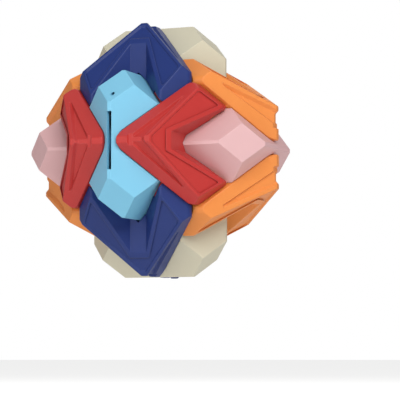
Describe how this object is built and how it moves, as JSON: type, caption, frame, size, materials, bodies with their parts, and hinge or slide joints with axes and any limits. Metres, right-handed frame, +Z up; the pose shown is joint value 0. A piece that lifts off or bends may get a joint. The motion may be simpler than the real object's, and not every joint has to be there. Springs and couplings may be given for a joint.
{
  "type": "puzzle ball coin bank",
  "caption": "Faceted take-apart puzzle ball and coin bank: bow-tie blocks and chevron shells close round a coin space; the front key block has a coin slot and a pin-released latch.",
  "frame": {"origin": "centre of the ball", "axes": "+Z up out of the top cream block, -Y out of the key block with the coin slot, which is the front, +X to the right"},
  "size_m": [0.14, 0.14, 0.14],
  "materials": {
    "sky_plastic": "satin moulded plastic, sky blue",
    "pink_plastic": "satin moulded plastic, blush pink",
    "cream_plastic": "satin moulded plastic, cream",
    "red_plastic": "satin moulded plastic, red",
    "navy_plastic": "satin moulded plastic, navy blue",
    "orange_plastic": "satin moulded plastic, orange",
    "latch_plastic": "plain natural plastic",
    "latch_steel": "plain steel"
  },
  "bodies": {
    "sky_block_back": {"sky_block_back": "sky_plastic"},
    "red_chevron_back_right": {"red_chevron_back_right": "red_plastic"},
    "red_chevron_back_left": {"red_chevron_back_left": "red_plastic"},
    "key_block_front": {"key_block_front": "sky_plastic", "latch_pivot_pin": "latch_steel", "latch_spring": "latch_steel"},
    "red_chevron_front_right": {"red_chevron_front_right": "red_plastic"},
    "red_chevron_front_left": {"red_chevron_front_left": "red_plastic"},
    "cream_block_top": {"cream_block_top": "cream_plastic"},
    "navy_chevron_top_back": {"navy_chevron_top_back": "navy_plastic"},
    "navy_chevron_top_front": {"navy_chevron_top_front": "navy_plastic"},
    "cream_block_bottom": {"cream_block_bottom": "cream_plastic"},
    "navy_chevron_bottom_back": {"navy_chevron_bottom_back": "navy_plastic"},
    "navy_chevron_bottom_front": {"navy_chevron_bottom_front": "navy_plastic"},
    "pink_block_right": {"pink_block_right": "pink_plastic"},
    "orange_chevron_right_top": {"orange_chevron_right_top": "orange_plastic"},
    "orange_chevron_right_bottom": {"orange_chevron_right_bottom": "orange_plastic"},
    "pink_block_left": {"pink_block_left": "pink_plastic"},
    "orange_chevron_left_top": {"orange_chevron_left_top": "orange_plastic"},
    "orange_chevron_left_bottom": {"orange_chevron_left_bottom": "orange_plastic"},
    "latch_lever": {"latch_lever": "latch_plastic"}
  },
  "joints": [
    {"name": "sky_block_back_lift", "type": "slide", "parent": "cream_block_bottom", "child": "sky_block_back", "axis": [0, 1, 0], "range_m": [0, 0.06]},
    {"name": "red_chevron_back_right_lift", "type": "slide", "parent": "cream_block_bottom", "child": "red_chevron_back_right", "axis": [0, 1, 0], "range_m": [0, 0.06]},
    {"name": "red_chevron_back_left_lift", "type": "slide", "parent": "cream_block_bottom", "child": "red_chevron_back_left", "axis": [0, 1, 0], "range_m": [0, 0.06]},
    {"name": "key_block_front_lift", "type": "slide", "parent": "cream_block_bottom", "child": "key_block_front", "axis": [0, -1, 0], "range_m": [0, 0.06]},
    {"name": "red_chevron_front_right_lift", "type": "slide", "parent": "cream_block_bottom", "child": "red_chevron_front_right", "axis": [0, -1, 0], "range_m": [0, 0.06]},
    {"name": "red_chevron_front_left_lift", "type": "slide", "parent": "cream_block_bottom", "child": "red_chevron_front_left", "axis": [0, -1, 0], "range_m": [0, 0.06]},
    {"name": "cream_block_top_lift", "type": "slide", "parent": "cream_block_bottom", "child": "cream_block_top", "axis": [0, 0, 1], "range_m": [0, 0.06]},
    {"name": "navy_chevron_top_back_lift", "type": "slide", "parent": "cream_block_bottom", "child": "navy_chevron_top_back", "axis": [0, 0, 1], "range_m": [0, 0.06]},
    {"name": "navy_chevron_top_front_lift", "type": "slide", "parent": "cream_block_bottom", "child": "navy_chevron_top_front", "axis": [0, 0, 1], "range_m": [0, 0.06]},
    {"name": "navy_chevron_bottom_back_lift", "type": "slide", "parent": "cream_block_bottom", "child": "navy_chevron_bottom_back", "axis": [0, 0, -1], "range_m": [0, 0.06]},
    {"name": "navy_chevron_bottom_front_lift", "type": "slide", "parent": "cream_block_bottom", "child": "navy_chevron_bottom_front", "axis": [0, 0, -1], "range_m": [0, 0.06]},
    {"name": "pink_block_right_lift", "type": "slide", "parent": "cream_block_bottom", "child": "pink_block_right", "axis": [1, 0, 0], "range_m": [0, 0.06]},
    {"name": "orange_chevron_right_top_lift", "type": "slide", "parent": "cream_block_bottom", "child": "orange_chevron_right_top", "axis": [1, 0, 0], "range_m": [0, 0.06]},
    {"name": "orange_chevron_right_bottom_lift", "type": "slide", "parent": "cream_block_bottom", "child": "orange_chevron_right_bottom", "axis": [1, 0, 0], "range_m": [0, 0.06]},
    {"name": "pink_block_left_lift", "type": "slide", "parent": "cream_block_bottom", "child": "pink_block_left", "axis": [-1, 0, 0], "range_m": [0, 0.06]},
    {"name": "orange_chevron_left_top_lift", "type": "slide", "parent": "cream_block_bottom", "child": "orange_chevron_left_top", "axis": [-1, 0, 0], "range_m": [0, 0.06]},
    {"name": "orange_chevron_left_bottom_lift", "type": "slide", "parent": "cream_block_bottom", "child": "orange_chevron_left_bottom", "axis": [-1, 0, 0], "range_m": [0, 0.06]},
    {"name": "latch_turn", "type": "hinge", "parent": "key_block_front", "child": "latch_lever", "pos_m": [0, -0.04101, 0.019], "axis": [1, 0, 0], "range_deg": [0, 15], "stiffness_Nm_per_rad": 0.003, "springref_deg": 20.05}
  ]
}
